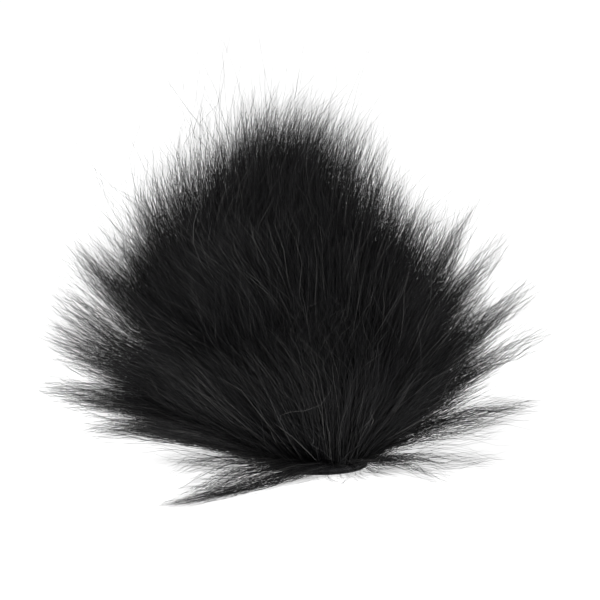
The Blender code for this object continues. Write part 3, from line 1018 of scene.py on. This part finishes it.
class WINDSCREEN_OT_hem(Operator):
    """Weave the hem tape and the elastic, lap the elastic's ends and sew the hem."""

    bl_idname = "windscreen.hem"
    bl_label = "Hem"
    bl_options = {"REGISTER", "UNDO"}

    def execute(self, context):
        pieces = context.scene.windscreen_pieces
        thread = spun_thread("hem_thread", pieces.thread, pieces.worn)
        inner, fold = TAPE_INNER, TAPE_FOLD
        outline = [
            (TAPE_RADIUS, fold),
            (TAPE_RADIUS, 0.1 * MM),
            (TAPE_RADIUS - 0.1 * MM, 0.0),
            (inner + 0.1 * MM, 0.0),
            (inner, 0.1 * MM),
            (inner, TAPE_TOP_Z),
            (inner + TAPE_WALL, TAPE_TOP_Z),
            (inner + TAPE_WALL, fold),
        ]
        mesh = cloth_ring("tape", outline, 0, math.tau, 320, 0.3 * MM, ribbed(0.52 * MM, 0.05 * MM))
        # Polyester grosgrain: fine ribs across the tape that catch a soft light along their tops.
        tape = cloth("grosgrain_tape", pieces.tape, pieces.worn, 0.25, 0.65, 0.2)
        show("hem_tape_grosgrain", mesh, tape, replaces=("hem_tape",))

        band = [
            (ELASTIC_RADIUS - 0.15 * MM, ELASTIC_TOP_Z),
            (ELASTIC_RADIUS, ELASTIC_TOP_Z - 0.15 * MM),
            (ELASTIC_RADIUS, ELASTIC_BOTTOM_Z + 0.15 * MM),
            (ELASTIC_RADIUS - 0.15 * MM, ELASTIC_BOTTOM_Z),
            (ELASTIC_INNER + 0.15 * MM, ELASTIC_BOTTOM_Z),
            (ELASTIC_INNER, ELASTIC_BOTTOM_Z + 0.15 * MM),
            (ELASTIC_INNER, ELASTIC_TOP_Z - 0.15 * MM),
            (ELASTIC_INNER + 0.15 * MM, ELASTIC_TOP_Z),
        ]
        # Braided polyester over rubber: a dull satin braid with the rubber's give in its ripple.
        elastic = cloth("braided_elastic", pieces.elastic, pieces.worn, 0.35, 0.55, 0.1)
        away = LAP_ANGLE / 2 + LAP_GAP
        weave = braided(0.8 * MM, 0.06 * MM)
        start = math.pi / 2 + away
        mesh = cloth_ring("elastic", band[::-1], start, math.tau - 2 * away, 260, 0.22 * MM, weave)
        show("hem_elastic_braid", mesh, elastic, replaces=("hem_elastic",))
        start = math.pi / 2 - LAP_ANGLE / 2
        mesh = cloth_ring("lap", band[::-1], start, LAP_ANGLE, 24, 0.22 * MM, weave)
        show("elastic_lap", mesh, elastic, replaces=("elastic_tack",))
        rows = []
        for height in (ELASTIC_BOTTOM_Z + 0.6 * MM, ELASTIC_TOP_Z - 0.6 * MM):
            angle = np.linspace(start + 0.03, start + LAP_ANGLE - 0.03, 60)
            radius = ELASTIC_RADIUS + 0.02 * MM
            wander = 0.35 * MM * np.sin(np.linspace(0, 7 * math.pi, 60))
            rows.append(about_axis(radius, angle, height + wander))
        mesh = thread_mesh("lap_stitches", rows, pieces.thread_radius * 0.7)
        show("elastic_lap_stitches", mesh, thread)

        around = np.linspace(0, math.tau, pieces.hem_stitches * 24 + 1)
        dive = np.cos(around * pieces.hem_stitches).clip(-1, 0.2) / 1.2
        radius = HEM_STITCH_INNER + 0.35 * MM * (0.5 + 0.5 * np.tanh(-6 * (dive + 0.35)))
        ring = about_axis(radius, around, HEM_STITCH_Z + 0 * around)
        mesh = thread_mesh("hem_stitches", [ring], pieces.thread_radius, closed=True)
        show("hem_stitches", mesh, thread, replaces=("hem_stitching",))
        return {"FINISHED"}


def draw_out(rings):
    """Extrude the selection from ring to ring, each a (radius, height), scaling as it goes."""
    for (radius, z), (next_radius, next_z) in zip(rings, rings[1:]):
        bpy.ops.mesh.extrude_region_move(TRANSFORM_OT_translate={"value": (0, 0, next_z - z)})
        grow_by = next_radius / radius
        bpy.ops.transform.resize(value=(grow_by, grow_by, 1), center_override=(0, 0, next_z))


def about_axis(radius, angle, z):
    """Points at these radii and angles about the axis, and at these heights."""
    return np.stack([radius * np.cos(angle), radius * np.sin(angle), z], -1)


def zigzag(profile, heading, stitch, width, height):
    """Path of overlocked stitches along a seam: side to side, standing off at each turn."""
    profile = np.array(profile)
    gone = np.concatenate([[0.0], np.cumsum(np.linalg.norm(np.diff(profile, axis=0), axis=1))])
    along = np.arange(0, gone[-1], stitch / 16)
    radius = np.interp(along, gone, profile[:, 0])
    z = np.interp(along, gone, profile[:, 1])
    phase = along / stitch * math.tau
    sideways = width / 2 * np.sin(phase)
    radius = radius + height * np.sin(phase) ** 2
    out = np.array([math.cos(heading), math.sin(heading)])
    across = np.array([-out[1], out[0]])
    flat = radius[:, None] * out + sideways[:, None] * across
    return np.concatenate([flat, z[:, None]], -1)


class FurOperator:
    """Grows one layer of hair on the four gores of the cover."""

    bl_options = {"REGISTER", "UNDO"}
    layer = ""
    stands_for = ""

    def execute(self, context):
        fur = context.scene.windscreen_fur
        layer = getattr(context.scene, f"windscreen_{self.layer}")
        material = dyed_modacrylic(f"{self.layer}_modacrylic", fur)
        tufts = Tufts(fur)
        rng = np.random.default_rng(fur.seed + sum(map(ord, self.layer)))
        for quarter, gore in enumerate(GORES):
            paths, steps = grow(rng, fur, tufts, quarter, layer)
            mesh = strand_mesh(f"{self.layer}_{gore}", rng, paths, steps, layer.thickness)
            replaces = (f"{self.stands_for}_{gore}",) if self.stands_for else ()
            show(f"{self.layer}_fur_{gore}", mesh, material, replaces=replaces)
        return {"FINISHED"}


class WINDSCREEN_OT_undercoat(FurOperator, Operator):
    """Grow the short dense undercoat."""

    bl_idname = "windscreen.undercoat"
    bl_label = "Undercoat"
    layer = "undercoat"
    stands_for = "undercoat"


class WINDSCREEN_OT_awn(FurOperator, Operator):
    """Grow the hair of middle length."""

    bl_idname = "windscreen.awn"
    bl_label = "Awn hair"
    layer = "awn"


class WINDSCREEN_OT_guard(FurOperator, Operator):
    """Grow the long guard hair."""

    bl_idname = "windscreen.guard"
    bl_label = "Guard hair"
    layer = "guard"
    stands_for = "guard_hair"


class WINDSCREEN_OT_wisp(FurOperator, Operator):
    """Grow the fine loose hair that stands out of the pile."""

    bl_idname = "windscreen.wisp"
    bl_label = "Wisps"
    layer = "wisp"


class WINDSCREEN_OT_flyaway(FurOperator, Operator):
    """Grow the few long single hairs that stand off the pile."""

    bl_idname = "windscreen.flyaway"
    bl_label = "Flyaway hair"
    layer = "flyaway"


class WINDSCREEN_OT_stray_locks(Operator):
    """Lay the loose locks, and the short fringe round the neck."""

    bl_idname = "windscreen.stray_locks"
    bl_label = "Stray locks"
    bl_options = {"REGISTER", "UNDO"}

    def execute(self, context):
        fur = context.scene.windscreen_fur
        layer = context.scene.windscreen_wisp
        rng = np.random.default_rng(fur.seed + 5)
        made = [stray_lock(rng, fur, lock, layer) for lock in STRAY_LOCKS]
        made.append(neck_fringe(rng, fur, layer))
        paths = np.concatenate([paths for paths, _ in made])
        mesh = strand_mesh("stray_locks", rng, paths, made[0][1], layer.thickness * 1.3)
        material = dyed_modacrylic("stray_modacrylic", fur)
        show("stray_locks", mesh, material)
        return {"FINISHED"}


class WINDSCREEN_OT_stage(Operator):
    """Lay the paper, hang the lights and place the camera."""

    bl_idname = "windscreen.stage"
    bl_label = "Stage"
    bl_options = {"REGISTER", "UNDO"}

    def execute(self, context):
        scene = context.scene
        stage = scene.windscreen_stage
        bpy.ops.object.select_all(action="DESELECT")
        bpy.ops.mesh.primitive_plane_add(size=8)
        floor = context.object
        floor.name = "paper_floor"
        floor.data.materials.append(paper("background_paper", stage.paper, stage.glow))
        scene.view_settings.view_transform = "Standard"
        world = bpy.data.worlds.new("white_surround")
        scene.world = world
        world.use_nodes = True
        tree = world.node_tree
        tree.nodes.clear()
        toward = add_node(tree, "ShaderNodeTexCoord").outputs["Generated"]
        height = add_node(tree, "ShaderNodeSeparateXYZ", {"Vector": toward}).outputs["Z"]
        fade = add_node(
            tree,
            "ShaderNodeMapRange",
            {
                "Value": height,
                "From Min": 0.2,
                "From Max": 0.45,
                "To Min": 1.05,
                "To Max": stage.sky,
            },
            interpolation_type="SMOOTHSTEP",
        )
        # White at the horizon, so that the paper has no edge, and dimmer overhead.
        sky = add_node(
            tree,
            "ShaderNodeBackground",
            {"Color": (1, 1, 1, 1), "Strength": fade.outputs["Result"]},
        )
        add_node(tree, "ShaderNodeOutputWorld", {"Surface": sky.outputs["Background"]})
        aim = Vector((stage.aim_x, 0, stage.aim_z))
        bpy.ops.object.light_add(type="AREA", location=KEY_PLACE)
        key = context.object
        key.name = "key_light"
        key.data.size = KEY_WIDTH
        key.data.energy = stage.key
        key.rotation_euler = (aim - key.location).to_track_quat("-Z", "Y").to_euler()
        back = Vector((0, -math.cos(stage.elevation), math.sin(stage.elevation)))
        bpy.ops.object.camera_add(
            location=aim + back * stage.distance, rotation=(math.pi / 2 - stage.elevation, 0, 0)
        )
        camera = context.object
        camera.data.lens = stage.lens
        camera.data.clip_start = 0.01
        scene.camera = camera
        return {"FINISHED"}


OPERATORS = (
    WINDSCREEN_OT_foam_core,
    WINDSCREEN_OT_scrim,
    WINDSCREEN_OT_backing,
    WINDSCREEN_OT_seams,
    WINDSCREEN_OT_hem,
    WINDSCREEN_OT_undercoat,
    WINDSCREEN_OT_awn,
    WINDSCREEN_OT_guard,
    WINDSCREEN_OT_wisp,
    WINDSCREEN_OT_flyaway,
    WINDSCREEN_OT_stray_locks,
    WINDSCREEN_OT_stage,
)
SETTINGS = {
    "windscreen_fur": FurSettings,
    "windscreen_undercoat": UndercoatLayer,
    "windscreen_awn": AwnLayer,
    "windscreen_guard": GuardLayer,
    "windscreen_wisp": WispLayer,
    "windscreen_flyaway": FlyawayLayer,
    "windscreen_pieces": PieceSettings,
    "windscreen_stage": StageSettings,
}


class WINDSCREEN_PT_panel(Panel):
    """Sidebar panel with every piece of the windscreen."""

    bl_label = "Furry windscreen"
    bl_idname = "WINDSCREEN_PT_panel"
    bl_space_type = "VIEW_3D"
    bl_region_type = "UI"
    bl_category = "Windscreen"

    def draw(self, context):
        for operator in OPERATORS:
            self.layout.operator(operator.bl_idname)
        for name, group in SETTINGS.items():
            box = self.layout.box()
            box.label(text=name.removeprefix("windscreen_").capitalize())
            for field in group.__annotations__:
                box.prop(getattr(context.scene, name), field)


def register():
    """Register the settings, the operators and the panel."""
    for name, group in SETTINGS.items():
        bpy.utils.register_class(group)
        setattr(bpy.types.Scene, name, PointerProperty(type=group))
    for operator in OPERATORS:
        bpy.utils.register_class(operator)
    bpy.utils.register_class(WINDSCREEN_PT_panel)


def unregister():
    """Take the panel, the operators and the settings away again."""
    bpy.utils.unregister_class(WINDSCREEN_PT_panel)
    for operator in reversed(OPERATORS):
        bpy.utils.unregister_class(operator)
    for name, group in reversed(SETTINGS.items()):
        delattr(bpy.types.Scene, name)
        bpy.utils.unregister_class(group)


def main():
    """Make every piece in order and write down the two boxes."""
    register()
    for operator in OPERATORS:
        family, name = operator.bl_idname.split(".")
        getattr(getattr(bpy.ops, family), name)()


if __name__ == "__main__":
    main()
